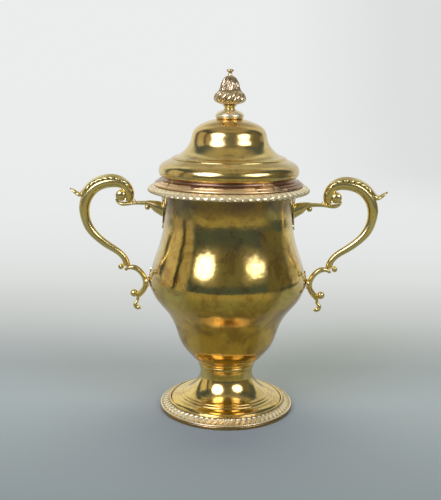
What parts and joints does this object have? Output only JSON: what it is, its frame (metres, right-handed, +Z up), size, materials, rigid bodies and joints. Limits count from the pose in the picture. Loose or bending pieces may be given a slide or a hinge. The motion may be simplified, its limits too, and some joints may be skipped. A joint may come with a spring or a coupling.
{
  "type": "cup trophy",
  "caption": "Two-handled gilt cup with a lift-off domed cover, gadrooned rim and foot borders, leaf-capped scroll handles and a swirled bud finial",
  "frame": {"origin": "centre of the bounding box at the bottom, on the foot's resting face", "axes": "+Z up the cup, +X to the handle on the viewer's right, -Y to the viewer, the side the picture shows"},
  "size_m": [0.3226, 0.1652, 0.3501],
  "materials": {
    "gilt_plain": "polished gilding, warm gold",
    "gilt_cast": "polished cast gilding, darker in the hollows"
  },
  "bodies": {
    "cup": {"foot_base_ring": "gilt_plain", "foot_gadroon_border": "gilt_cast", "foot_bead_wire": "gilt_plain", "foot_shell": "gilt_plain", "stem_collar": "gilt_plain", "cup_body": "gilt_plain", "rim_gadroon_border": "gilt_cast", "mouth_ring": "gilt_plain", "right_volute_boss": "gilt_cast", "right_upper_socket": "gilt_cast", "right_branch": "gilt_cast", "right_branch_bud": "gilt_cast", "right_handle_scroll": "gilt_cast", "right_leaf_cap": "gilt_cast", "right_upper_pad": "gilt_cast", "right_lower_stub": "gilt_cast", "right_end_curl": "gilt_cast", "right_lower_ball": "gilt_cast", "right_lower_scroll": "gilt_cast", "right_tail_leaf": "gilt_cast", "right_lower_pad": "gilt_cast", "left_volute_boss": "gilt_cast", "left_upper_socket": "gilt_cast", "left_branch": "gilt_cast", "left_branch_bud": "gilt_cast", "left_handle_scroll": "gilt_cast", "left_leaf_cap": "gilt_cast", "left_upper_pad": "gilt_cast", "left_lower_stub": "gilt_cast", "left_end_curl": "gilt_cast", "left_lower_ball": "gilt_cast", "left_lower_scroll": "gilt_cast", "left_tail_leaf": "gilt_cast", "left_lower_pad": "gilt_cast"},
    "cover": {"cover_bezel": "gilt_plain", "cover_base_moulding": "gilt_plain", "cover_dome": "gilt_plain", "finial_plate": "gilt_plain", "finial_stem": "gilt_plain", "finial_bud": "gilt_cast", "finial_knob": "gilt_plain", "finial_stud": "gilt_plain", "finial_washer": "gilt_plain", "finial_nut": "gilt_plain"}
  },
  "joints": [
    {"name": "cover_lift", "type": "slide", "parent": "cup", "child": "cover", "axis": [0, 0, 1], "range_m": [0, 0.12]}
  ]
}
